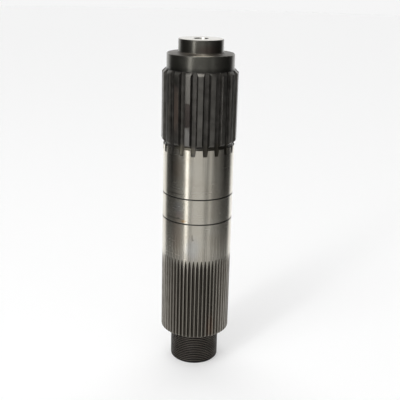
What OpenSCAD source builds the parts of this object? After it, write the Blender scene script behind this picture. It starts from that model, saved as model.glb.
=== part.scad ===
// Auxiliary mainshaft of a heavy gearbox: one turned, hobbed and ground steel shaft.
// It stands on its threaded end, with its axis on Z and its lower face at Z = 0.
// All sizes are in millimetres.

/* [Threaded end] */
// Length of the threaded end, up to the shoulder of the fine spline
thread_l = 36.7; // [30:0.1:50]
// Major diameter of the thread
thread_d = 50.8; // [44:0.1:60]
// Chamfer at the start of the thread
thread_chamfer = 1.8; // [1:0.1:2.5]
// Width of the relief between the thread and the shoulder
relief_w = 5; // [4:0.1:7]
// Depth of that relief below the thread's major diameter
relief_depth = 1.7; // [1:0.1:2.5]
// Corner radius in the relief, under the shoulder
relief_fillet = 1.2; // [0.6:0.1:1.6]

/* [Ground journal] */
// Diameter of the journal, and of the fine spline that is cut into it
journal_d = 72.4; // [70:0.1:74]
// Length from the shoulder to the upper edge of the journal
journal_l = 202.7; // [180:0.1:230]
// Height of the lower ring groove above the shoulder
ring_height = 126; // [110:0.1:135]
// Distance between the two ring grooves
ring_spacing = 26.2; // [15:0.1:35]
// Width of a ring groove
ring_w = 1.1; // [0.8:0.1:2]
// Depth of a ring groove
ring_depth = 0.6; // [0.4:0.1:1.2]

/* [Fine spline] */
// Number of fine spline teeth
fine_teeth = 56; // [48:1:60]
// Depth of the fine tooth spaces
fine_depth = 1.78; // [1.4:0.01:1.9]
// Height of a fine tooth above its pitch circle
fine_addendum = 0.635; // [0.5:0.005:0.8]
// Pressure angle of the fine teeth
fine_pressure = 30; // [28:0.5:32]
// Length of the fine spaces at full depth, from the shoulder up
fine_l = 76; // [60:0.1:90]
// Chamfer at the lower end of the fine teeth
fine_chamfer = 1; // [0.4:0.1:1.6]
// Turn of the fine teeth about the axis
fine_turn = 2.7; // [0:0.1:6]

/* [Coarse spline] */
// Number of coarse spline teeth
coarse_teeth = 19; // [17:1:21]
// Outside diameter of the coarse spline
coarse_d = 76.2; // [75:0.1:80]
// Depth of the coarse tooth spaces
coarse_depth = 3.5; // [2.8:0.1:4]
// Height of a coarse tooth above its pitch circle
coarse_addendum = 1.3; // [1:0.05:1.6]
// Pressure angle of the coarse teeth
coarse_pressure = 25; // [23:0.5:27]
// Length of the coarse spline with both end chamfers
coarse_l = 69.9; // [55:0.1:80]
// Height of the end chamfer beside the nose
coarse_top_chamfer = 2.6; // [1.5:0.1:3.5]
// Height of the end chamfer beside the journal
coarse_low_chamfer = 1.8; // [0.8:0.1:2.5]
// Turn of the coarse teeth about the axis
coarse_turn = 1; // [0:0.1:18]

/* [Undercut between journal and coarse spline] */
// Width of the undercut at the surface of the journal
undercut_w = 5.4; // [4:0.1:7]
// Depth of the undercut below the journal
undercut_depth = 1.4; // [1:0.05:1.8]
// Nose radius of the tool that turned the undercut
undercut_nose = 3.6; // [3:0.1:5]

/* [Nose and stub] */
// Diameter of the nose above the coarse spline
nose_d = 67.6; // [64:0.1:69]
// Length of the nose
nose_l = 15.5; // [12:0.1:25]
// Chamfer on the upper edge of the nose
nose_chamfer = 0.7; // [0.3:0.1:1.5]
// Diameter of the stub at the top
stub_d = 45; // [38:0.1:52]
// Length of the stub
stub_l = 13.9; // [10:0.1:25]
// Fillet at the foot of the stub
stub_fillet = 2; // [1:0.1:4]
// Chamfer on the upper edge of the stub
stub_chamfer = 0.6; // [0.3:0.1:1.5]

/* [Tools] */
// Diameter of the hob, which shapes the run-outs of both splines
hob_d = 63.5; // [50:0.5:80]
// Mouth diameter of the centre holes
centre_d = 16; // [12:0.1:20]
// Pilot diameter of the centre holes
pilot_d = 6.3; // [4:0.1:8]
// Depth of the pilot below the countersink
pilot_l = 6; // [4:0.1:10]

/* [Hidden] */
$fn = 144;

// How far a cutter reaches past the face that it opens
overcut = 1;
// Share of its depth by which a tooth space's cutter stands out of the work
flank_overcut = 0.15;
// Straight steps in a rounded corner of the turned outline
fillet_steps = 6;
// Straight steps along one flank of a tooth
flank_steps = 3;
// Included angle of a centre drill's countersink and of its point
centre_angle = 60;
drill_angle = 118;
// Turn of the hob that carries its run-out clear of the work
hob_sweep = 32;

thread_r = thread_d / 2;
relief_r = thread_r - relief_depth;
journal_r = journal_d / 2;
coarse_r = coarse_d / 2;
nose_r = nose_d / 2;
stub_r = stub_d / 2;

// Heights of the shaft's steps
shoulder_z = thread_l;
journal_top_z = shoulder_z + journal_l;
coarse_z = journal_top_z + undercut_w;
nose_z = coarse_z + coarse_l;
stub_z = nose_z + nose_l;
top_z = stub_z + stub_l;

// Root radii of the tooth spaces
fine_root = journal_r - fine_depth;
coarse_root = coarse_r - coarse_depth;

// The coarse hob lifts where its spaces meet the undercut
coarse_lift_z = coarse_z - coarse_low_chamfer;

function unit(v) = v / norm(v);

function turned(v, angle) = [v.x * cos(angle) - v.y * sin(angle), v.x * sin(angle) + v.y * cos(angle)];

// Points of the arc that rounds corner b, between its neighbours a and c
function rounded(a, b, c, radius) =
    let (
        to_a = unit(a - b),
        to_c = unit(c - b),
        half = acos(to_a * to_c) / 2,
        centre = b + unit(to_a + to_c) * radius / sin(half),
        start = b + to_a * radius / tan(half) - centre,
        finish = b + to_c * radius / tan(half) - centre,
        turn = atan2(cross(start, finish), start * finish)
    )
    [for (i = [0 : fillet_steps]) centre + turned(start, turn * i / fillet_steps)];

// Outline of a turned part from its corners, each [radius, height, corner radius]
function turned_outline(corners) =
    let (last = len(corners) - 1, at = [for (c = corners) [c[0], c[1]]])
    [for (i = [0 : last])
        each corners[i][2] > 0
            ? rounded(at[i - 1], at[i], at[i + 1], corners[i][2])
            : [at[i]]];

// Corners of one ring groove at height z
function ring_corners(z) = [
    [journal_r, z - ring_w / 2, 0],
    [journal_r - ring_depth, z - ring_w / 2, 0],
    [journal_r - ring_depth, z + ring_w / 2, 0],
    [journal_r, z + ring_w / 2, 0]
];

// Involute function, in degrees
function involute(angle) = tan(angle) * 180 / PI - angle;

// Half the angle of a tooth space at radius r
function half_space(r, teeth, pitch_r, pressure) =
    90 / teeth - involute(pressure) + involute(acos(pitch_r * cos(pressure) / r));

// Points of one flank of a tooth space, from its root outwards, [across, radial]
function flank(teeth, root, tip, pitch_r, pressure) = [
    for (i = [0 : flank_steps])
        let (
            r = root + (tip - root) * (1 + flank_overcut) * i / flank_steps,
            half = half_space(r, teeth, pitch_r, pressure)
        )
        [r * sin(half), r * cos(half)]
];

// Section of a tooth space, open at the top, [across, radial]
function space_section(side) = concat(
    [for (i = [len(side) - 1 : -1 : 0]) [-side[i].x, side[i].y]],
    side
);

// The turned outline with all its steps, before the splines are cut
module blank() {
    corners = concat(
        [
            [0, 0, 0],
            [thread_r - thread_chamfer, 0, 0],
            [thread_r, thread_chamfer, 0],
            [thread_r, shoulder_z - relief_w, 0],
            [relief_r, shoulder_z - relief_w + relief_depth, 0],
            [relief_r, shoulder_z, relief_fillet],
            [journal_r - fine_chamfer, shoulder_z, 0],
            [journal_r, shoulder_z + fine_chamfer, 0]
        ],
        ring_corners(shoulder_z + ring_height),
        ring_corners(shoulder_z + ring_height + ring_spacing),
        [
            [journal_r, coarse_z, 0],
            [coarse_r, coarse_z + coarse_low_chamfer, 0],
            [coarse_r, nose_z - coarse_top_chamfer, 0],
            [nose_r, nose_z, 0],
            [nose_r, stub_z - nose_chamfer, 0],
            [nose_r - nose_chamfer, stub_z, 0],
            [stub_r, stub_z, stub_fillet],
            [stub_r, top_z - stub_chamfer, 0],
            [stub_r - stub_chamfer, top_z, 0],
            [0, top_z, 0]
        ]
    );
    rotate_extrude() polygon(turned_outline(corners));
}

// Round-nosed undercut at the upper end of the journal, which stops at the end of the coarse spline
module undercut() {
    reach = coarse_r + overcut - journal_r;
    slope = coarse_low_chamfer / (coarse_r - journal_r);
    half_w = sqrt(2 * undercut_nose * undercut_depth - undercut_depth ^ 2);
    rotate_extrude()
        intersection() {
            translate([journal_r - undercut_depth + undercut_nose, journal_top_z + half_w])
                circle(undercut_nose);
            polygon([
                [nose_r, journal_top_z - undercut_nose],
                [journal_r + reach, journal_top_z - undercut_nose],
                [journal_r + reach, coarse_z + reach * slope],
                [nose_r, coarse_z + (nose_r - journal_r) * slope]
            ]);
        }
}

// Centre hole that opens upwards at Z = 0
module centre_hole() {
    mouth_r = centre_d / 2;
    pilot_r = pilot_d / 2;
    sink = (mouth_r - pilot_r) / tan(centre_angle / 2);
    flare = overcut * tan(centre_angle / 2);
    point = pilot_r / tan(drill_angle / 2);
    rotate_extrude()
        polygon([
            [0, overcut],
            [mouth_r + flare, overcut],
            [pilot_r, -sink],
            [pilot_r, -sink - pilot_l],
            [0, -sink - pilot_l - point]
        ]);
}

// Straight run of one tooth space, from height low to height high
module space_run(section, low, high) {
    translate([0, 0, low])
        linear_extrude(high - low)
            polygon(section);
}

// Run-out of one tooth space, swept by the hob as it lifts at height z.
// The hob's axis lies across the space; way is 1 for a run-out upwards and -1 for one downwards.
module space_runout(section, z, way) {
    hob_r = hob_d / 2;
    floor_y = min([for (p = section) p.y]);
    translate([0, floor_y + hob_r, z])
        rotate([-90, 0, 0])
            rotate([0, 90, 0])
                rotate_extrude(angle = hob_sweep, start = way > 0 ? -hob_sweep : 0)
                    polygon([for (p = section) [hob_r + floor_y - p.y, p.x]]);
}

// All spaces of the fine spline, open at the shoulder and running out upwards
module fine_spaces() {
    pitch_r = journal_r - fine_addendum;
    section = space_section(flank(fine_teeth, fine_root, journal_r, pitch_r, fine_pressure));
    lift_z = shoulder_z + fine_l;
    for (i = [0 : fine_teeth - 1])
        rotate(fine_turn + i * 360 / fine_teeth) {
            space_run(section, shoulder_z - overcut, lift_z);
            space_runout(section, lift_z, 1);
        }
}

// All spaces of the coarse spline, open at the nose and running out into the journal
module coarse_spaces() {
    pitch_r = coarse_r - coarse_addendum;
    section = space_section(flank(coarse_teeth, coarse_root, coarse_r, pitch_r, coarse_pressure));
    for (i = [0 : coarse_teeth - 1])
        rotate(coarse_turn + i * 360 / coarse_teeth) {
            space_run(section, coarse_lift_z, nose_z + overcut);
            space_runout(section, coarse_lift_z, -1);
        }
}

module mainshaft() {
    color("#8a8a84")
        difference() {
            blank();
            undercut();
            fine_spaces();
            coarse_spaces();
            translate([0, 0, top_z]) centre_hole();
            mirror([0, 0, 1]) centre_hole();
        }
}

mainshaft();
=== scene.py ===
"""Looks of an auxiliary mainshaft: one turned, hobbed and ground steel shaft on its threaded end.

The shaft is modelled again at the size of its solid, with the helical thread, the edge breaks and the
finishes that the solid leaves out. It stands in a plain studio, seen at the photograph's angle.
Sizes of the shaft are in millimetres, and meshes are in metres.
"""

from __future__ import annotations

import logging
import math
from dataclasses import dataclass
from enum import Enum

import bpy
from mathutils import Matrix, Vector

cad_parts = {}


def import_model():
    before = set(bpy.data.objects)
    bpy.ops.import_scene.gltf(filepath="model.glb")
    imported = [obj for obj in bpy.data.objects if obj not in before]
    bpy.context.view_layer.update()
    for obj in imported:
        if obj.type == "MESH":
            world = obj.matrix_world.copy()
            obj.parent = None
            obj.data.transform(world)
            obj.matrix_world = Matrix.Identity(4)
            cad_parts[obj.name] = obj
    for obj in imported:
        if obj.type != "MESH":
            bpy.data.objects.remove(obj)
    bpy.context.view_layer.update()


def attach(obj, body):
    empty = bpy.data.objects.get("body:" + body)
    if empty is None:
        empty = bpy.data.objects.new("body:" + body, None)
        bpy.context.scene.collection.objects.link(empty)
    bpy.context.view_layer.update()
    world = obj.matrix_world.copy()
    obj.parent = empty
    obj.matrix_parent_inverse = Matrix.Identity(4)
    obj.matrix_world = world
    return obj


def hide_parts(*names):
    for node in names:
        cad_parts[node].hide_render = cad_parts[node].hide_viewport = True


LOG = logging.getLogger("mainshaft")
MM = 0.001
MERGE_DISTANCE = 0.001 * MM


def linear(colour: str) -> tuple[float, float, float, float]:
    """Turn an sRGB hex colour into linear RGBA.

    Args:
        colour: six hex digits after a number sign.

    Returns:
        Linear red, green, blue and an alpha of 1.
    """
    parts = [int(colour[i:i + 2], 16) / 255 for i in (1, 3, 5)]
    red, green, blue = (p / 12.92 if p <= 0.04045 else ((p + 0.055) / 1.055) ** 2.4 for p in parts)
    return (red, green, blue, 1.0)


def add_node(tree: bpy.types.NodeTree, kind: str, settings: dict, links: dict) -> bpy.types.Node:
    """Add one node, set its values and link its inputs.

    Args:
        tree: the node tree that gets the node.
        kind: Blender's name for the kind of node.
        settings: values by property name, or by an input's name or number.
        links: output sockets by the name or number of the input that they feed.

    Returns:
        The new node.
    """
    node = tree.nodes.new(kind)
    for key, value in settings.items():
        if isinstance(key, str) and hasattr(node, key):
            setattr(node, key, value)
        else:
            node.inputs[key].default_value = value
    for key, socket in links.items():
        tree.links.new(socket, node.inputs[key])
    return node


def deselect_all() -> None:
    """Leave no object selected, so that the next operator acts on new work alone."""
    bpy.ops.object.select_all(action="DESELECT")


def draw(name: str, points: list[Vector], filled: bool) -> bpy.types.Object:
    """Draw a run of edges by extruding a vertex from point to point, and leave it in edit mode.

    Args:
        name: name of the new object.
        points: the points in order, in millimetres.
        filled: whether the run is closed and filled with a face.

    Returns:
        The new object, in edit mode with all of it selected.
    """
    deselect_all()
    bpy.ops.mesh.primitive_plane_add(size=MM)
    shape = bpy.context.object
    shape.name = name
    bpy.ops.object.mode_set(mode="EDIT")
    bpy.ops.mesh.select_all(action="SELECT")
    bpy.ops.mesh.merge(type="CENTER")
    bpy.ops.transform.translate(value=points[0] * MM)
    for start, end in zip(points, points[1:]):
        bpy.ops.mesh.extrude_vertices_move(TRANSFORM_OT_translate={"value": (end - start) * MM})
    bpy.ops.mesh.select_all(action="SELECT")
    if filled:
        bpy.ops.mesh.edge_face_add()
    return shape


def clean_mesh() -> None:
    """Merge doubles and turn all faces outwards, in edit mode."""
    bpy.ops.mesh.select_all(action="SELECT")
    bpy.ops.mesh.remove_doubles(threshold=MERGE_DISTANCE)
    bpy.ops.mesh.normals_make_consistent(inside=False)


def close_shape() -> None:
    """Clean the mesh in edit mode, then go back to object mode."""
    clean_mesh()
    bpy.ops.object.mode_set(mode="OBJECT")


def cut(work: bpy.types.Object, tool: bpy.types.Object) -> None:
    """Cut the tool's shape out of the work, and remove the tool.

    Args:
        work: the closed mesh that is cut.
        tool: the closed mesh that is taken away from it.
    """
    deselect_all()
    work.select_set(True)
    bpy.context.view_layer.objects.active = work
    modifier = work.modifiers.new("cut", "BOOLEAN")
    modifier.operation = "DIFFERENCE"
    modifier.solver = "MANIFOLD"
    modifier.object = tool
    bpy.ops.object.modifier_apply(modifier=modifier.name)
    bpy.data.objects.remove(tool, do_unlink=True)


@dataclass(frozen=True)
class Corner:
    """One corner of a turned outline, with the radius or the edge break that finishes it."""

    radius: float
    height: float
    fillet: float = 0.0
    edge: float = 0.0

    def at(self) -> Vector:
        """Place of the sharp corner in the outline's plane."""
        return Vector((self.radius, self.height))


def finished_corner(before: Corner, corner: Corner, after: Corner, steps: int) -> list[Vector]:
    """Points that stand for one corner: sharp, broken by a small chamfer, or rounded.

    Args:
        before: the corner ahead of this one.
        corner: the corner to finish.
        after: the corner behind this one.
        steps: straight steps in a rounded corner.

    Returns:
        The points in order, in the outline's plane.
    """
    place = corner.at()
    back = (before.at() - place).normalized()
    on = (after.at() - place).normalized()
    if corner.edge:
        return [place + back * corner.edge, place + on * corner.edge]
    if not corner.fillet:
        return [place]
    half = back.angle(on) / 2
    centre = place + (back + on).normalized() * corner.fillet / math.sin(half)
    start = place + back * corner.fillet / math.tan(half) - centre
    finish = place + on * corner.fillet / math.tan(half) - centre
    sweep = start.angle_signed(finish)
    return [centre + Matrix.Rotation(-sweep * i / steps, 2) @ start for i in range(steps + 1)]


@dataclass(frozen=True)
class TurnedBlank:
    """The turned shaft before its splines and thread are cut. All sizes are in millimetres."""

    thread_l: float = 36.7
    thread_r: float = 25.4
    thread_chamfer: float = 1.8
    relief_w: float = 5.0
    relief_depth: float = 1.7
    relief_fillet: float = 1.2
    journal_r: float = 36.2
    journal_l: float = 202.7
    ring_height: float = 126.0
    ring_spacing: float = 26.2
    ring_w: float = 1.1
    ring_depth: float = 0.6
    fine_chamfer: float = 1.0
    undercut_w: float = 3.6
    undercut_depth: float = 1.4
    undercut_nose: float = 1.8
    coarse_r: float = 38.1
    coarse_l: float = 72.0
    coarse_top_chamfer: float = 3.1
    coarse_low_chamfer: float = 1.9
    coarse_lift: float = 3.6
    nose_r: float = 33.8
    nose_l: float = 15.2
    nose_chamfer: float = 0.7
    stub_r: float = 22.5
    stub_l: float = 13.9
    stub_fillet: float = 2.0
    stub_chamfer: float = 0.6
    centre_r: float = 8.0
    pilot_r: float = 3.15
    pilot_l: float = 6.0
    centre_angle: float = math.radians(60)
    drill_angle: float = math.radians(118)
    edge_break: float = 0.15
    foot_break: float = 0.4
    turns: int = 288
    corner_steps: int = 8

    @property
    def shoulder_z(self) -> float:
        """Height of the shoulder above the thread."""
        return self.thread_l

    @property
    def journal_top_z(self) -> float:
        """Height of the upper edge of the journal."""
        return self.shoulder_z + self.journal_l

    @property
    def coarse_z(self) -> float:
        """Height at which the coarse spline starts."""
        return self.journal_top_z + self.undercut_w

    @property
    def nose_z(self) -> float:
        """Height at which the nose starts."""
        return self.coarse_z + self.coarse_l

    @property
    def stub_z(self) -> float:
        """Height at which the stub starts."""
        return self.nose_z + self.nose_l

    @property
    def top_z(self) -> float:
        """Height of the shaft's upper face."""
        return self.stub_z + self.stub_l

    def ring_heights(self) -> tuple[float, float]:
        """Heights of the two ring grooves."""
        lower = self.shoulder_z + self.ring_height
        return (lower, lower + self.ring_spacing)

    def ring(self, height: float) -> list[Corner]:
        """Corners of the ring groove at one height."""
        floor = self.journal_r - self.ring_depth
        low = height - self.ring_w / 2
        high = height + self.ring_w / 2
        return [
            Corner(self.journal_r, low, edge=self.edge_break),
            Corner(floor, low),
            Corner(floor, high),
            Corner(self.journal_r, high, edge=self.edge_break),
        ]

    def centre_hole(self, face_z: float, inward: float) -> list[Corner]:
        """Corners of a lathe centre, from the end face to the axis.

        Args:
            face_z: height of the end face.
            inward: 1 where the hole goes up from the face, -1 where it goes down.

        Returns:
            The corners from the mouth to the drill point.
        """
        sink = (self.centre_r - self.pilot_r) / math.tan(self.centre_angle / 2)
        point = self.pilot_r / math.tan(self.drill_angle / 2)
        return [
            Corner(self.centre_r, face_z),
            Corner(self.pilot_r, face_z + inward * sink),
            Corner(self.pilot_r, face_z + inward * (sink + self.pilot_l)),
            Corner(0.0, face_z + inward * (sink + self.pilot_l + point)),
        ]

    def low_chamfer_z(self, radius: float) -> float:
        """Height of the coarse spline's lower chamfer at one radius."""
        slope = self.coarse_low_chamfer / (self.coarse_r - self.journal_r)
        return self.coarse_z + (radius - self.journal_r) * slope

    def undercut(self) -> list[Corner]:
        """Corners of the round-nosed undercut, from the journal to the coarse spline's lower chamfer."""
        half_w = math.sqrt(2 * self.undercut_nose * self.undercut_depth - self.undercut_depth ** 2)
        middle_r = self.journal_r - self.undercut_depth + self.undercut_nose
        middle_z = self.journal_top_z + half_w
        half_turn = math.asin(half_w / self.undercut_nose)
        corners = []
        for step in range(2 * self.corner_steps + 1):
            angle = half_turn * (step / self.corner_steps - 1)
            radius = middle_r - self.undercut_nose * math.cos(angle)
            height = middle_z + self.undercut_nose * math.sin(angle)
            if height < self.low_chamfer_z(radius):
                corners.append(Corner(radius, height))
        meet_r = corners[-1].radius
        corners.append(Corner(meet_r, self.low_chamfer_z(meet_r)))
        return corners

    def corners(self) -> list[Corner]:
        """Corners of the whole outline, from the lower drill point to the upper one."""
        relief_r = self.thread_r - self.relief_depth
        relief_z = self.shoulder_z - self.relief_w
        fine_z = self.shoulder_z + self.fine_chamfer
        low_ring, high_ring = self.ring_heights()
        return [
            *reversed(self.centre_hole(0.0, 1.0)),
            Corner(self.thread_r - self.thread_chamfer, 0.0),
            Corner(self.thread_r, self.thread_chamfer, edge=self.foot_break),
            Corner(self.thread_r, relief_z),
            Corner(relief_r, relief_z + self.relief_depth),
            Corner(relief_r, self.shoulder_z, fillet=self.relief_fillet),
            Corner(self.journal_r - self.fine_chamfer, self.shoulder_z, edge=self.edge_break),
            Corner(self.journal_r, fine_z, edge=self.foot_break),
            *self.ring(low_ring),
            *self.ring(high_ring),
            *self.undercut(),
            Corner(self.coarse_r, self.coarse_z + self.coarse_low_chamfer, edge=self.edge_break),
            Corner(self.coarse_r, self.nose_z - self.coarse_top_chamfer, edge=self.edge_break),
            Corner(self.coarse_r - self.coarse_top_chamfer, self.nose_z),
            Corner(self.nose_r, self.nose_z),
            Corner(self.nose_r, self.stub_z - self.nose_chamfer, edge=self.edge_break),
            Corner(self.nose_r - self.nose_chamfer, self.stub_z, edge=self.edge_break),
            Corner(self.stub_r, self.stub_z, fillet=self.stub_fillet),
            Corner(self.stub_r, self.top_z - self.stub_chamfer, edge=self.edge_break),
            Corner(self.stub_r - self.stub_chamfer, self.top_z, edge=self.edge_break),
            *self.centre_hole(self.top_z, -1.0),
        ]

    def build(self) -> bpy.types.Object:
        """Draw the outline and spin it round the axis.

        Returns:
            The closed turned blank.
        """
        corners = self.corners()
        outline = [corners[0].at()]
        for before, corner, after in zip(corners, corners[1:], corners[2:]):
            outline += finished_corner(before, corner, after, self.corner_steps)
        outline.append(corners[-1].at())
        blank = draw("mainshaft_finished", [Vector((p.x, 0.0, p.y)) for p in outline], filled=False)
        bpy.ops.mesh.spin(steps=self.turns, angle=math.tau, center=(0, 0, 0), axis=(0, 0, 1))
        close_shape()
        return blank


class Lift(Enum):
    """Which way along the shaft a hob leaves its tooth spaces."""

    UP = 1
    DOWN = -1


@dataclass(frozen=True)
class Spline:
    """One hobbed spline: involute tooth spaces with run-outs where the hob lifts. Sizes in millimetres."""

    name: str
    teeth: int
    tip_r: float
    depth: float
    addendum: float
    pressure: float
    open_z: float
    lift_z: float
    lift: Lift
    turn: float
    root_fillet: float
    edge_break: float
    hob_r: float = 31.75
    hob_sweep: float = math.radians(32)
    flank_steps: int = 8
    fillet_steps: int = 3
    runout_steps: int = 28
    overcut: float = 0.15

    @property
    def root_r(self) -> float:
        """Radius of the floor of the tooth spaces."""
        return self.tip_r - self.depth

    def half_space(self, radius: float) -> float:
        """Half the angle of a tooth space at one radius, in radians."""
        base_r = (self.tip_r - self.addendum) * math.cos(self.pressure)
        roll = math.acos(base_r / radius)
        grown = math.tan(roll) - roll - math.tan(self.pressure) + self.pressure
        return math.pi / (2 * self.teeth) + grown

    def flank(self, radius: float) -> Vector:
        """Point of the right flank at one radius, across and radial."""
        half = self.half_space(radius)
        return Vector((radius * math.sin(half), radius * math.cos(half)))

    def side(self) -> list[Vector]:
        """Right side of a space's section, from the middle of its floor to above the tooth tip."""
        corner = self.flank(self.root_r)
        start = Corner(0.0, corner.y)
        foot = Corner(corner.x, corner.y, fillet=self.root_fillet)
        up = self.flank(self.root_r + self.depth / 2)
        points = finished_corner(start, foot, Corner(up.x, up.y), self.fillet_steps)
        low = math.hypot(*points[-1])
        high = self.tip_r - self.edge_break
        for step in range(1, self.flank_steps + 1):
            points.append(self.flank(low + (high - low) * step / self.flank_steps))
        flare = self.edge_break + self.overcut * self.depth
        points.append(points[-1] + Vector((flare, flare)))
        return points

    def section(self) -> list[Vector]:
        """Whole section of a tooth space at the spline's open end, turned to the first space."""
        right = self.side()
        left = [Vector((-p.x, p.y)) for p in reversed(right)]
        turned = Matrix.Rotation(self.turn, 3, "Z")
        return [turned @ Vector((p.x, p.y, self.open_z)) for p in left + right]

    def cutter(self) -> bpy.types.Object:
        """Model one tooth space, swept by the hob as it lifts, and copy it round the shaft.

        Returns:
            One mesh that holds all the tooth spaces.
        """
        tool = draw(self.name, self.section(), filled=True)
        run = Vector((0, 0, self.lift_z - self.open_z)) * MM
        bpy.ops.mesh.extrude_region_move(TRANSFORM_OT_translate={"value": run})
        turned = Matrix.Rotation(self.turn, 3, "Z")
        floor_y = self.flank(self.root_r).y
        middle = turned @ Vector((0, floor_y + self.hob_r, self.lift_z)) * MM
        axis = turned @ Vector((1, 0, 0))
        sweep = self.hob_sweep * self.lift.value
        bpy.ops.mesh.spin(steps=self.runout_steps, angle=sweep, center=middle, axis=axis)
        clean_mesh()
        share = math.tau * (self.teeth - 1) / self.teeth
        bpy.ops.mesh.spin(steps=self.teeth - 1, angle=share, center=(0, 0, 0), axis=(0, 0, 1), dupli=True)
        bpy.ops.object.mode_set(mode="OBJECT")
        return tool


@dataclass(frozen=True)
class Thread:
    """The right-hand 60 degree thread on the lower end. Sizes in millimetres."""

    major_r: float
    top_z: float
    pitch: float = 25.4 / 12
    flank_angle: float = math.radians(30)
    groove_share: float = 7 / 8
    root_share: float = 1 / 5
    lead_turns: float = 1.5
    turn_steps: int = 96
    clearance: float = 0.12

    @property
    def start_z(self) -> float:
        """Height at which the cutter starts, below the shaft's end."""
        return -self.pitch * self.lead_turns

    def section(self) -> list[Vector]:
        """Section of the groove at the cutter's start, from its root out past the crests and back."""
        slope = math.tan(self.flank_angle)
        crest_gap = self.pitch * self.groove_share
        root_gap = self.pitch * self.root_share
        root_r = self.major_r - (crest_gap - root_gap) / (2 * slope)
        out_r = self.major_r + self.clearance
        out_gap = crest_gap + 2 * self.clearance * slope
        return [
            Vector((root_r, 0, self.start_z - root_gap / 2)),
            Vector((out_r, 0, self.start_z - out_gap / 2)),
            Vector((out_r, 0, self.start_z + out_gap / 2)),
            Vector((root_r, 0, self.start_z + root_gap / 2)),
        ]

    def cutter(self) -> bpy.types.Object:
        """Screw the groove's section up the shaft, from below its end to the relief.

        Returns:
            The closed helical groove.
        """
        tool = draw("thread_groove", self.section(), filled=True)
        bpy.ops.mesh.delete(type="ONLY_FACE")
        bpy.ops.object.mode_set(mode="OBJECT")
        screw = tool.modifiers.new("helix", "SCREW")
        screw.axis = "Z"
        screw.angle = math.tau
        screw.screw_offset = self.pitch * MM
        screw.iterations = math.ceil((self.top_z - self.start_z) / self.pitch)
        screw.steps = self.turn_steps
        screw.render_steps = self.turn_steps
        bpy.ops.object.modifier_apply(modifier=screw.name)
        bpy.ops.object.mode_set(mode="EDIT")
        bpy.ops.mesh.select_all(action="SELECT")
        bpy.ops.mesh.remove_doubles(threshold=MERGE_DISTANCE)
        bpy.ops.mesh.fill_holes(sides=0)
        close_shape()
        return tool


class Zone(Enum):
    """The finishes of the shaft's surfaces, in the order of its material slots."""

    GROUND = 0
    TURNED = 1
    LAND = 2
    SPACE = 3
    FINE_SPACE = 4
    THREAD = 5
    CREST = 6
    SHOULDER = 7
    FACED = 8


class Marks(Enum):
    """Which way the tool marks run, as the scale across them in X, Y and Z."""

    AROUND = (0.03, 0.03, 1.0)
    ALONG = (1.0, 1.0, 0.04)


@dataclass(frozen=True)
class StainOrPaintedLight:
    """One soft mark of colour by its place: a stain, painted light or painted shade. Sizes in mm, angles in
    degrees.
    """

    colour: str
    angle: float
    radius: float
    height: float
    across: float
    along: float
    strength: float
    soft: float = 0.7

    def over(
        self,
        tree: bpy.types.NodeTree,
        place: bpy.types.NodeSocket,
        patches: bpy.types.NodeSocket,
        under: bpy.types.NodeSocket,
    ) -> bpy.types.NodeSocket:
        """Lay the stain, painted light or painted shade over a colour.

        Args:
            tree: the material's node tree.
            place: Object coordinates.
            patches: soft noise, which makes the mark's edge ragged.
            under: the colour below the mark.

        Returns:
            The marked colour socket.
        """
        turn = math.radians(self.angle)
        middle = Vector((self.radius * math.sin(turn), -self.radius * math.cos(turn), self.height)) * MM
        reach = Vector((1 / self.across, 1 / self.across, 1 / self.along)) / MM
        away = add_node(tree, "ShaderNodeVectorMath", {"operation": "SUBTRACT", 1: middle}, {0: place})
        shares = add_node(
            tree, "ShaderNodeVectorMath", {"operation": "MULTIPLY", 1: reach}, {0: away.outputs["Vector"]}
        )
        share = add_node(
            tree, "ShaderNodeVectorMath", {"operation": "LENGTH"}, {0: shares.outputs["Vector"]}
        )
        ragged = add_node(
            tree,
            "ShaderNodeMath",
            {"operation": "MULTIPLY_ADD", 1: self.soft},
            {0: patches, 2: share.outputs["Value"]},
        )
        amount = add_node(
            tree,
            "ShaderNodeMapRange",
            {
                "interpolation_type": "SMOOTHSTEP",
                "From Min": 1 - self.soft / 2,
                "From Max": 1 + self.soft,
                "To Min": self.strength,
                "To Max": 0.0,
            },
            {"Value": ragged.outputs["Value"]},
        )
        mixed = add_node(
            tree,
            "ShaderNodeMix",
            {"data_type": "RGBA", 7: linear(self.colour)},
            {"Factor": amount.outputs["Result"], 6: under},
        )
        return mixed.outputs[2]


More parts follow.
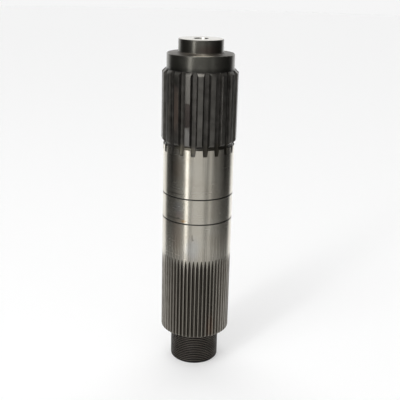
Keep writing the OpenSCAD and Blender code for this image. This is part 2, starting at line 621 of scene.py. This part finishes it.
@dataclass(frozen=True)
class SteelFinish:
    """One finish of the steel, from its colour and how it was cut. Sizes in millimetres.

    Tool marks are drawn further apart than the real ones, so that they show in the render.
    """

    name: str
    colour: str
    shade: str
    metallic: float
    roughness: float
    swing: float
    anisotropy: float
    marks: Marks
    mark_spacing: float
    mark_depth: float
    patch: float
    stains_and_painted_light: tuple[StainOrPaintedLight, ...] = ()
    patch_detail: float = 4.0
    patch_low: float = 0.35
    patch_high: float = 0.7
    mark_detail: float = 3.0
    mark_low: float = 0.3
    mark_high: float = 0.7
    streak_turn: float = 0.25

    def colour_socket(self, tree: bpy.types.NodeTree, place: bpy.types.NodeSocket) -> bpy.types.NodeSocket:
        """Colour with soft patches of a darker shade, and with the finish's stains, painted light and
        painted shade over it.

        Args:
            tree: the material's node tree.
            place: Object coordinates.

        Returns:
            The colour socket.
        """
        patches = add_node(
            tree,
            "ShaderNodeTexNoise",
            {"Scale": 1 / (self.patch * MM), "Detail": self.patch_detail},
            {"Vector": place},
        )
        amount = add_node(
            tree,
            "ShaderNodeMapRange",
            {"From Min": self.patch_low, "From Max": self.patch_high},
            {"Value": patches.outputs["Fac"]},
        )
        mixed = add_node(
            tree,
            "ShaderNodeMix",
            {"data_type": "RGBA", 6: linear(self.colour), 7: linear(self.shade)},
            {"Factor": amount.outputs["Result"]},
        )
        colour = mixed.outputs[2]
        for stain_or_light in self.stains_and_painted_light:
            colour = stain_or_light.over(tree, place, patches.outputs["Fac"], colour)
        return colour

    def mark_socket(self, tree: bpy.types.NodeTree, place: bpy.types.NodeSocket) -> bpy.types.NodeSocket:
        """Noise that is drawn out along the tool marks.

        Args:
            tree: the material's node tree.
            place: Object coordinates.

        Returns:
            The noise socket.
        """
        stretched = add_node(
            tree,
            "ShaderNodeMapping",
            {"Scale": Vector(self.marks.value) / (self.mark_spacing * MM)},
            {"Vector": place},
        )
        lines = add_node(
            tree,
            "ShaderNodeTexNoise",
            {"Scale": 1.0, "Detail": self.mark_detail},
            {"Vector": stretched.outputs["Vector"]},
        )
        return lines.outputs["Fac"]

    def material(self) -> bpy.types.Material:
        """Build the finish as a material.

        Returns:
            The material, with its colour, roughness and tool marks from nodes.
        """
        made = bpy.data.materials.new(self.name)
        made.use_nodes = True
        tree = made.node_tree
        tree.nodes.clear()
        place = add_node(tree, "ShaderNodeTexCoord", {}, {}).outputs["Object"]
        marks = self.mark_socket(tree, place)
        rough = add_node(
            tree,
            "ShaderNodeMapRange",
            {
                "From Min": self.mark_low,
                "From Max": self.mark_high,
                "To Min": self.roughness - self.swing,
                "To Max": self.roughness + self.swing,
            },
            {"Value": marks},
        )
        bump = add_node(
            tree, "ShaderNodeBump", {"Strength": 1.0, "Distance": self.mark_depth * MM}, {"Height": marks}
        )
        shader = add_node(
            tree,
            "ShaderNodeBsdfPrincipled",
            {
                "Metallic": self.metallic,
                "Anisotropic": self.anisotropy,
                "Anisotropic Rotation": self.streak_turn,
            },
            {
                "Base Color": self.colour_socket(tree, place),
                "Roughness": rough.outputs["Result"],
                "Normal": bump.outputs["Normal"],
            },
        )
        add_node(tree, "ShaderNodeOutputMaterial", {}, {"Surface": shader.outputs["BSDF"]})
        return made


# Cylindrically ground alloy steel: bright and warm, with fine lines round the shaft that draw a lamp out
# into one tall streak. Heat and old oil left brown and blue tints, a rust spot and rubbed rings on it.
# The fine teeth are duller, with painted shade on their front and a painted highlight round their lower
# ends.
GROUND_STEEL = SteelFinish(
    name="ground_alloy_steel",
    colour="#C6C2B7",
    shade="#BCB6A9",
    metallic=1.0,
    roughness=0.27,
    swing=0.004,
    anisotropy=0.7,
    marks=Marks.AROUND,
    mark_spacing=0.9,
    mark_depth=0.00002,
    patch=26.0,
    stains_and_painted_light=(
        StainOrPaintedLight("#8F8B82", angle=0, radius=0, height=40, across=200, along=85, strength=0.9, soft=0.3),
        # Painted shade: the fine teeth darker on their front side.
        StainOrPaintedLight("#6A665F", angle=0, radius=36.2, height=40, across=36, along=85, strength=0.75, soft=0.4),
        StainOrPaintedLight("#9C7A5A", angle=-36, radius=36.2, height=219, across=7, along=13, strength=0.3),
        StainOrPaintedLight("#A3836A", angle=-34, radius=36.2, height=150, across=7, along=24, strength=0.28),
        StainOrPaintedLight("#A0A8B2", angle=-32, radius=36.2, height=180, across=6, along=8, strength=0.3),
        StainOrPaintedLight("#B0A0A0", angle=-30, radius=36.2, height=172, across=5, along=5, strength=0.4),
        StainOrPaintedLight("#A9B0BA", angle=-6, radius=36.2, height=137, across=8, along=13, strength=0.3),
        StainOrPaintedLight("#C4A06C", angle=-23, radius=36.2, height=165.6, across=3, along=2, strength=0.7),
        StainOrPaintedLight("#5A5652", angle=-31, radius=36.2, height=168, across=1.4, along=0.8, strength=0.7, soft=0.3),
        StainOrPaintedLight("#7E776C", angle=-7, radius=36.2, height=149, across=0.7, along=4, strength=0.55, soft=0.4),
        StainOrPaintedLight(
            "#6A645A", angle=-5.5, radius=36.2, height=146.5, across=0.8, along=0.8, strength=0.7, soft=0.4
        ),
        StainOrPaintedLight("#7A746A", angle=-42, radius=36.2, height=193.5, across=13, along=0.8, strength=0.6, soft=0.4),
        StainOrPaintedLight("#7A746A", angle=-42, radius=36.2, height=167.5, across=13, along=0.8, strength=0.6, soft=0.4),
        StainOrPaintedLight("#94765C", angle=28, radius=36.2, height=47, across=5, along=12, strength=0.2),
        # Painted highlight: a pale ring round the lower chamfer of the fine teeth.
        StainOrPaintedLight("#A5A197", angle=0, radius=0, height=37.2, across=200, along=1.4, strength=0.8, soft=0.3),
    ),
)
# Turned and phosphated steel: dark grey, a little oily, with turned rings and a brown tint low on the stub.
# Painted shade darkens the foot of the nose.
TURNED_STEEL = SteelFinish(
    name="turned_phosphated_steel",
    colour="#585751",
    shade="#4A4843",
    metallic=0.85,
    roughness=0.32,
    swing=0.04,
    anisotropy=0.6,
    marks=Marks.AROUND,
    mark_spacing=0.9,
    mark_depth=0.004,
    patch=12.0,
    stains_and_painted_light=(
        StainOrPaintedLight("#4A3E38", angle=24, radius=22.5, height=335, across=14, along=5, strength=0.6),
        # Painted shade: a dark ring round the foot of the nose, in the corner above the coarse spline.
        StainOrPaintedLight("#3C3B37", angle=0, radius=0, height=315, across=200, along=3.6, strength=0.8, soft=0.5),
    ),
)
# Hobbed and phosphated tooth lands: dark grey, rubbed lighter by the hub that slid on them. There is a dark
# patch on one land, a brown tint on the left, a painted highlight on one chamfer in front and painted shade
# in the upper corner.
LAND_STEEL = SteelFinish(
    name="phosphated_steel_rubbed_lands",
    colour="#63615C",
    shade="#4E4C48",
    metallic=0.85,
    roughness=0.38,
    swing=0.05,
    anisotropy=0.4,
    marks=Marks.ALONG,
    mark_spacing=1.1,
    mark_depth=0.003,
    patch=9.0,
    stains_and_painted_light=(
        StainOrPaintedLight("#53514D", angle=-20, radius=38.1, height=300, across=6, along=22, strength=0.9, soft=0.3),
        StainOrPaintedLight("#757370", angle=-20, radius=38.1, height=248, across=6, along=14, strength=0.9, soft=0.2),
        StainOrPaintedLight("#36312E", angle=-20, radius=38.1, height=274, across=11, along=12, strength=1.0, soft=0.05),
        StainOrPaintedLight("#84756B", angle=-40, radius=38.1, height=279, across=8, along=24, strength=0.85),
        # Painted highlight: one chamfer in front, lighter.
        StainOrPaintedLight("#7C7973", angle=1.2, radius=37, height=313, across=5, along=1.3, strength=0.9, soft=0.3),
        # Painted shade: a dark ring in the upper corner under the nose.
        StainOrPaintedLight("#2E2C29", angle=0, radius=0, height=315.2, across=200, along=0.8, strength=0.8, soft=0.3),
    ),
)
# Hobbed and phosphated tooth spaces: darker, and rough from the hob's feed. The run-outs and the undercut
# are darker and browner on the right, and carry a painted highlight on the left.
SPACE_STEEL = SteelFinish(
    name="hobbed_phosphated_steel",
    colour="#514F4B",
    shade="#3B3935",
    metallic=0.8,
    roughness=0.42,
    swing=0.05,
    anisotropy=0.2,
    marks=Marks.AROUND,
    mark_spacing=1.6,
    mark_depth=0.006,
    patch=8.0,
    stains_and_painted_light=(
        StainOrPaintedLight("#3A372F", angle=32, radius=37, height=238, across=20, along=10, strength=0.95, soft=0.5),
        # Painted highlight: the run-outs and undercut lighter on the left.
        StainOrPaintedLight("#6A665A", angle=-24, radius=37, height=239, across=12, along=6, strength=0.8, soft=0.4),
    ),
)
# Hobbed fine spaces: dull steel with painted shade in front, and a brown tint low on the right.
FINE_SPACE_STEEL = SteelFinish(
    name="hobbed_steel_painted_front_shade",
    colour="#746F67",
    shade="#5B574F",
    metallic=0.85,
    roughness=0.42,
    swing=0.05,
    anisotropy=0.2,
    marks=Marks.AROUND,
    mark_spacing=1.4,
    mark_depth=0.005,
    patch=10.0,
    stains_and_painted_light=(
        # Painted shade: the fine spaces darker on their front side.
        StainOrPaintedLight("#47433C", angle=0, radius=36.2, height=75, across=27, along=85, strength=1.0, soft=0.45),
        StainOrPaintedLight("#5A3F30", angle=28, radius=35, height=50, across=5, along=14, strength=0.45),
    ),
)
# Flanks of the cut thread: nearly black with old oil and dirt.
THREAD_STEEL = SteelFinish(
    name="cut_thread_dirty_steel",
    colour="#221E1C",
    shade="#171513",
    metallic=0.5,
    roughness=0.5,
    swing=0.05,
    anisotropy=0.0,
    marks=Marks.AROUND,
    mark_spacing=0.7,
    mark_depth=0.002,
    patch=10.0,
)
# Crests of the thread: rubbed bare, so that each turn shows as a pale line.
CREST_STEEL = SteelFinish(
    name="rubbed_bare_thread_crests",
    colour="#938D84",
    shade="#827B72",
    metallic=1.0,
    roughness=0.34,
    swing=0.04,
    anisotropy=0.3,
    marks=Marks.AROUND,
    mark_spacing=0.7,
    mark_depth=0.001,
    patch=10.0,
)
# Shoulder and fillet under the stub: dark, oily and dull, with a painted reflection, light and pale tan, in
# front.
SHOULDER_STEEL = SteelFinish(
    name="faced_dull_oily_steel_painted_reflection",
    colour="#524D45",
    shade="#3E3A34",
    metallic=0.6,
    roughness=0.5,
    swing=0.04,
    anisotropy=0.0,
    marks=Marks.ALONG,
    mark_spacing=0.9,
    mark_depth=0.003,
    patch=8.0,
    stains_and_painted_light=(
        # Painted reflection: a light patch on the front of the shoulder.
        StainOrPaintedLight("#C8C0B0", angle=4, radius=36.5, height=330, across=13, along=8, strength=1.0, soft=0.35),
    ),
)
# Faced ends and lathe centres: bare steel with turned rings.
FACED_STEEL = SteelFinish(
    name="faced_bare_steel",
    colour="#BDBBB5",
    shade="#A6A39B",
    metallic=1.0,
    roughness=0.3,
    swing=0.04,
    anisotropy=0.0,
    marks=Marks.ALONG,
    mark_spacing=0.9,
    mark_depth=0.002,
    patch=8.0,
)

FINISHES = {
    Zone.GROUND: GROUND_STEEL,
    Zone.TURNED: TURNED_STEEL,
    Zone.LAND: LAND_STEEL,
    Zone.SPACE: SPACE_STEEL,
    Zone.FINE_SPACE: FINE_SPACE_STEEL,
    Zone.THREAD: THREAD_STEEL,
    Zone.CREST: CREST_STEEL,
    Zone.SHOULDER: SHOULDER_STEEL,
    Zone.FACED: FACED_STEEL,
}


class Mainshaft:
    """The whole shaft: a turned blank with two hobbed splines and a thread.

    Lengths are in millimetres. A face lies level if the Z of its normal is past flat_normal, and it is a
    chamfer if that is past sloped_normal.
    """

    smooth_angle = math.radians(28)
    skin = 0.04
    end_reach = 1.0
    centre_reach = 0.1
    flat_normal = 0.999
    sloped_normal = 0.3
    overrun = 1.0
    fine_run = 76.0

    def __init__(self) -> None:
        """Set the blank's sizes, and take those of the splines and the thread from it."""
        self.blank = TurnedBlank()
        blank = self.blank
        self.fine = Spline(
            name="fine_spaces",
            teeth=56,
            tip_r=blank.journal_r,
            depth=1.78,
            addendum=0.635,
            pressure=math.radians(30),
            open_z=blank.shoulder_z - self.overrun,
            lift_z=blank.shoulder_z + self.fine_run,
            lift=Lift.UP,
            turn=math.radians(2.7),
            root_fillet=0.25,
            edge_break=0.06,
        )
        self.coarse = Spline(
            name="coarse_spaces",
            teeth=19,
            tip_r=blank.coarse_r,
            depth=3.5,
            addendum=1.3,
            pressure=math.radians(25),
            open_z=blank.nose_z + self.overrun,
            lift_z=blank.journal_top_z + blank.coarse_lift,
            lift=Lift.DOWN,
            turn=math.radians(1),
            root_fillet=0.5,
            edge_break=0.2,
        )
        self.thread = Thread(major_r=blank.thread_r, top_z=blank.shoulder_z - blank.relief_w)

    def zone(self, face: bpy.types.MeshPolygon, mesh: bpy.types.Mesh) -> Zone:
        """Tell which finish a face has, from its place and the way it points.

        Args:
            face: the face.
            mesh: the mesh that holds it.

        Returns:
            The face's zone.
        """
        blank = self.blank
        spots = [mesh.vertices[i].co / MM for i in face.vertices]
        outer = max(math.hypot(p.x, p.y) for p in spots)
        inner = min(math.hypot(p.x, p.y) for p in spots)
        height = face.center.z / MM
        level = abs(face.normal.z)
        at_end = height < self.end_reach or height > blank.top_z - self.end_reach
        if level > self.flat_normal and at_end:
            return Zone.FACED
        if outer < blank.centre_r + self.centre_reach:
            return Zone.FACED
        if height < blank.shoulder_z:
            return Zone.CREST if inner > blank.thread_r - self.skin else Zone.THREAD
        if height > blank.stub_z - self.skin and outer > blank.stub_r + self.skin:
            return Zone.SHOULDER
        if height > blank.nose_z:
            return Zone.TURNED
        if height > blank.coarse_z:
            chamfered = level > self.sloped_normal
            return Zone.LAND if chamfered or outer > blank.coarse_r - self.skin else Zone.SPACE
        if height > blank.journal_top_z:
            return Zone.SPACE
        if inner > blank.journal_r - self.skin or height < blank.shoulder_z + blank.fine_chamfer:
            return Zone.GROUND
        if height > self.fine.lift_z + self.fine.hob_r:
            return Zone.SPACE
        return Zone.FINE_SPACE

    def build(self) -> bpy.types.Object:
        """Turn the blank, hob both splines, cut the thread and dress the result.

        Returns:
            The finished shaft.
        """
        shaft = self.blank.build()
        cut(shaft, self.coarse.cutter())
        cut(shaft, self.fine.cutter())
        cut(shaft, self.thread.cutter())
        bpy.ops.object.mode_set(mode="EDIT")
        close_shape()
        bpy.ops.object.shade_smooth_by_angle(angle=self.smooth_angle)
        self.dress(shaft)
        return shaft

    def dress(self, shaft: bpy.types.Object) -> None:
        """Give each face of the shaft its finish."""
        shaft.data.materials.clear()
        for zone in Zone:
            shaft.data.materials.append(FINISHES[zone].material())
        for face in shaft.data.polygons:
            face.material_index = self.zone(face, shaft.data).value


@dataclass(frozen=True)
class Panel:
    """One upright light or card of the studio, by the way it lies from the shaft, in degrees.

    Its level changes to `above` times itself as a ray's rise goes from low_rise to high_rise.
    """

    azimuth: float
    half_width: float
    softness: float
    level: float
    above: float = 1.0
    low_rise: float = -0.18
    high_rise: float = -0.07

    def light(
        self,
        tree: bpy.types.NodeTree,
        azimuth: bpy.types.NodeSocket,
        rise: bpy.types.NodeSocket,
    ) -> bpy.types.NodeSocket:
        """Level of the panel by azimuth and height.

        Args:
            tree: the world's node tree.
            azimuth: azimuth of the ray, in degrees.
            rise: how steeply the ray rises, from -1 to 1.

        Returns:
            The level, full inside the panel and nothing well outside it.
        """
        away = add_node(tree, "ShaderNodeMath", {"operation": "SUBTRACT", 1: self.azimuth}, {0: azimuth})
        wrapped = add_node(
            tree, "ShaderNodeMath", {"operation": "WRAP", 1: 180.0, 2: -180.0}, {0: away.outputs["Value"]}
        )
        apart = add_node(tree, "ShaderNodeMath", {"operation": "ABSOLUTE"}, {0: wrapped.outputs["Value"]})
        faded = add_node(
            tree,
            "ShaderNodeMapRange",
            {
                "interpolation_type": "SMOOTHSTEP",
                "From Min": self.half_width - self.softness,
                "From Max": self.half_width + self.softness,
                "To Min": self.level,
                "To Max": 0.0,
            },
            {"Value": apart.outputs["Value"]},
        )
        gain = add_node(
            tree,
            "ShaderNodeMapRange",
            {"From Min": self.low_rise, "From Max": self.high_rise, "To Min": 1.0, "To Max": self.above},
            {"Value": rise},
        )
        lit = add_node(
            tree,
            "ShaderNodeMath",
            {"operation": "MULTIPLY"},
            {0: faded.outputs["Result"], 1: gain.outputs["Result"]},
        )
        return lit.outputs["Value"]


def seen_by_camera(tree: bpy.types.NodeTree, path: bpy.types.Node) -> bpy.types.NodeSocket:
    """Tell whether the camera sees a ray, straight or through something clear.

    Args:
        tree: the node tree of the world or of a material.
        path: its Light Path node.

    Returns:
        A socket with 1 for such a ray and 0 for others.
    """
    seen = add_node(
        tree,
        "ShaderNodeMath",
        {"operation": "MAXIMUM"},
        {0: path.outputs["Is Camera Ray"], 1: path.outputs["Is Transmission Ray"]},
    )
    return seen.outputs["Value"]


@dataclass(frozen=True)
class Studio:
    """A plain studio: pale floor, white backdrop behind, dark sides and soft light in front.

    Sizes are in metres. The light overhead starts where a ray's rise is overhead_low, and it is full at
    overhead_high.
    """

    panels: tuple[Panel, ...] = (
        Panel(azimuth=-177, half_width=51, softness=8, level=1.3),
        Panel(azimuth=-2, half_width=52, softness=30, level=0.31),
        Panel(azimuth=2.5, half_width=19.5, softness=3, level=0.385),
        Panel(azimuth=-35.3, half_width=3.9, softness=2, level=2.0, above=3.1),
        Panel(azimuth=41, half_width=4, softness=3, level=0.42),
        Panel(
            azimuth=62, half_width=20, softness=14, level=0.15, above=0.55, low_rise=-0.32, high_rise=-0.26
        ),
        Panel(
            azimuth=-62, half_width=14, softness=12, level=0.08, above=0.4, low_rise=-0.32, high_rise=-0.26
        ),
    )
    dark: float = 0.022
    overhead: float = 3.0
    overhead_low: float = 0.945
    overhead_high: float = 0.975
    pale: float = 0.92
    floor_r: float = 6.0
    floor_sides: int = 96
    near_floor_r: float = 0.145
    floor_fade: float = 2.0
    paper: float = 0.56
    paper_glow: float = 0.42
    lamp_size: float = 0.8
    lamp_power: float = 8.0
    lamp_place: tuple[float, float, float] = (-0.7, -0.9, 1.5)
    lamp_aim: tuple[float, float, float] = (0.0, 0.0, 0.1)
    eye: tuple[float, float, float] = (0.0, -0.76, 0.41885)
    pitch: float = math.radians(17.58)
    yaw: float = math.radians(0.207)
    roll: float = math.radians(1.4535)
    lens: float = 68.69
    sensor: float = 36.0

    def camera(self) -> bpy.types.Object:
        """Place the camera where the photograph was taken from.

        Returns:
            The camera.
        """
        data = bpy.data.cameras.new("camera")
        data.lens = self.lens
        data.sensor_width = self.sensor
        camera = bpy.data.objects.new("camera", data)
        bpy.context.collection.objects.link(camera)
        look = Vector((
            math.sin(self.yaw) * math.cos(self.pitch),
            math.cos(self.yaw) * math.cos(self.pitch),
            -math.sin(self.pitch),
        ))
        level = Vector((math.cos(self.yaw), -math.sin(self.yaw), 0))
        upright = level.cross(look)
        right = level * math.cos(self.roll) + upright * math.sin(self.roll)
        top = upright * math.cos(self.roll) - level * math.sin(self.roll)
        turn = Matrix((right, top, -look)).transposed().to_4x4()
        camera.matrix_world = Matrix.Translation(self.eye) @ turn
        bpy.context.scene.camera = camera
        return camera

    def panel_sum(self, tree: bpy.types.NodeTree, split: bpy.types.Node) -> bpy.types.NodeSocket:
        """Level of the dark surroundings and of all the panels.

        Args:
            tree: the world's node tree.
            split: the node that splits a ray's direction.

        Returns:
            The level socket.
        """
        back = add_node(tree, "ShaderNodeMath", {"operation": "MULTIPLY", 1: -1.0}, {0: split.outputs["Y"]})
        turn = add_node(
            tree,
            "ShaderNodeMath",
            {"operation": "ARCTAN2"},
            {0: split.outputs["X"], 1: back.outputs["Value"]},
        )
        azimuth = add_node(tree, "ShaderNodeMath", {"operation": "DEGREES"}, {0: turn.outputs["Value"]})
        # The first sum starts from the dark surroundings, and each later one from the sum before it.
        level = None
        for panel in self.panels:
            part = panel.light(tree, azimuth.outputs["Value"], split.outputs["Z"])
            links = {0: part} if level is None else {0: part, 1: level}
            total = add_node(tree, "ShaderNodeMath", {"operation": "ADD", 1: self.dark}, links)
            level = total.outputs["Value"]
        return level

    def world(self) -> None:
        """Light the studio from all sides, and show the camera a plain pale background."""
        world = bpy.data.worlds.new("studio")
        bpy.context.scene.world = world
        world.use_nodes = True
        tree = world.node_tree
        tree.nodes.clear()
        ray = add_node(tree, "ShaderNodeTexCoord", {}, {}).outputs["Generated"]
        split = add_node(tree, "ShaderNodeSeparateXYZ", {}, {"Vector": ray})
        above = add_node(
            tree,
            "ShaderNodeMapRange",
            {
                "interpolation_type": "SMOOTHSTEP",
                "From Min": self.overhead_low,
                "From Max": self.overhead_high,
            },
            {"Value": split.outputs["Z"]},
        )
        domed = add_node(
            tree,
            "ShaderNodeMix",
            {"data_type": "FLOAT", 3: self.overhead},
            {"Factor": above.outputs["Result"], 2: self.panel_sum(tree, split)},
        )
        path = add_node(tree, "ShaderNodeLightPath", {}, {})
        shown = add_node(
            tree,
            "ShaderNodeMix",
            {"data_type": "FLOAT", 3: self.pale},
            {"Factor": seen_by_camera(tree, path), 2: domed.outputs[0]},
        )
        light = add_node(
            tree, "ShaderNodeBackground", {"Color": (1, 1, 1, 1)}, {"Strength": shown.outputs[0]}
        )
        add_node(tree, "ShaderNodeOutputWorld", {}, {"Surface": light.outputs["Background"]})

    def paper_socket(self, tree: bpy.types.NodeTree, path: bpy.types.Node) -> bpy.types.NodeSocket:
        """Pale paper that glows a little to the camera and in the steel, and keeps the shadow.

        Args:
            tree: the floor material's node tree.
            path: its Light Path node.

        Returns:
            The shader socket.
        """
        tone = (self.paper, self.paper, self.paper, 1.0)
        paper = add_node(tree, "ShaderNodeBsdfDiffuse", {"Color": tone}, {})
        glow = add_node(
            tree, "ShaderNodeEmission", {"Color": (1, 1, 1, 1), "Strength": self.paper_glow}, {}
        )
        lit = add_node(
            tree, "ShaderNodeAddShader", {}, {0: paper.outputs["BSDF"], 1: glow.outputs["Emission"]}
        )
        shown = add_node(
            tree,
            "ShaderNodeMath",
            {"operation": "MAXIMUM"},
            {0: seen_by_camera(tree, path), 1: path.outputs["Is Glossy Ray"]},
        )
        seen = add_node(
            tree,
            "ShaderNodeMixShader",
            {},
            {0: shown.outputs["Value"], 1: paper.outputs["BSDF"], 2: lit.outputs["Shader"]},
        )
        return seen.outputs["Shader"]

    def far_reflection(self, tree: bpy.types.NodeTree, path: bpy.types.Node) -> bpy.types.NodeSocket:
        """Tell how far the floor fades out of reflections, which show the studio beyond it.

        Args:
            tree: the floor material's node tree.
            path: its Light Path node.

        Returns:
            A socket that rises from 0 near the shaft to 1 far from it, for glossy rays alone.
        """
        place = add_node(tree, "ShaderNodeTexCoord", {}, {}).outputs["Object"]
        distance = add_node(tree, "ShaderNodeVectorMath", {"operation": "LENGTH"}, {0: place})
        share = add_node(
            tree,
            "ShaderNodeMath",
            {"operation": "DIVIDE", 0: self.near_floor_r},
            {1: distance.outputs["Value"]},
        )
        near = add_node(
            tree,
            "ShaderNodeMath",
            {"operation": "POWER", 1: self.floor_fade, "use_clamp": True},
            {0: share.outputs["Value"]},
        )
        far = add_node(
            tree, "ShaderNodeMath", {"operation": "SUBTRACT", 0: 1.0}, {1: near.outputs["Value"]}
        )
        gone = add_node(
            tree,
            "ShaderNodeMath",
            {"operation": "MULTIPLY"},
            {0: far.outputs["Value"], 1: path.outputs["Is Glossy Ray"]},
        )
        return gone.outputs["Value"]

    def floor_material(self) -> bpy.types.Material:
        """Build the floor's pale paper.

        Returns:
            The material.
        """
        made = bpy.data.materials.new("pale_paper_floor")
        made.use_nodes = True
        tree = made.node_tree
        tree.nodes.clear()
        path = add_node(tree, "ShaderNodeLightPath", {}, {})
        clear = add_node(tree, "ShaderNodeBsdfTransparent", {}, {})
        surface = add_node(
            tree,
            "ShaderNodeMixShader",
            {},
            {
                0: self.far_reflection(tree, path),
                1: self.paper_socket(tree, path),
                2: clear.outputs["BSDF"],
            },
        )
        add_node(tree, "ShaderNodeOutputMaterial", {}, {"Surface": surface.outputs["Shader"]})
        return made

    def floor(self) -> bpy.types.Object:
        """Lay the pale floor, which keeps the shaft's shadow.

        Returns:
            The floor.
        """
        deselect_all()
        bpy.ops.mesh.primitive_circle_add(vertices=self.floor_sides, radius=self.floor_r, fill_type="NGON")
        floor = bpy.context.object
        floor.name = "floor"
        floor.data.materials.append(self.floor_material())
        return floor

    def lamp(self) -> bpy.types.Object:
        """Hang a large soft lamp over the left front, for the shadow on the floor.

        Returns:
            The lamp.
        """
        data = bpy.data.lights.new("soft_lamp", "AREA")
        data.shape = "RECTANGLE"
        data.size = self.lamp_size
        data.size_y = self.lamp_size
        data.energy = self.lamp_power
        lamp = bpy.data.objects.new("soft_lamp", data)
        bpy.context.collection.objects.link(lamp)
        lamp.location = self.lamp_place
        aim = Vector(self.lamp_aim) - lamp.location
        lamp.rotation_euler = aim.to_track_quat("-Z", "Y").to_euler()
        return lamp


def main() -> None:
    """Load the frame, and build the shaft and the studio."""
    logging.basicConfig(level=logging.INFO, format="%(name)s: %(message)s")
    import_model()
    bpy.context.scene.view_settings.view_transform = "Standard"
    shaft = Mainshaft().build()
    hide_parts("mainshaft")
    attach(shaft, "root")
    LOG.info("%s has %d faces", shaft.name, len(shaft.data.polygons))
    studio = Studio()
    studio.camera()
    studio.world()
    studio.lamp()
    floor = studio.floor()
    LOG.info("%s is laid", floor.name)


if __name__ == "__main__":
    main()
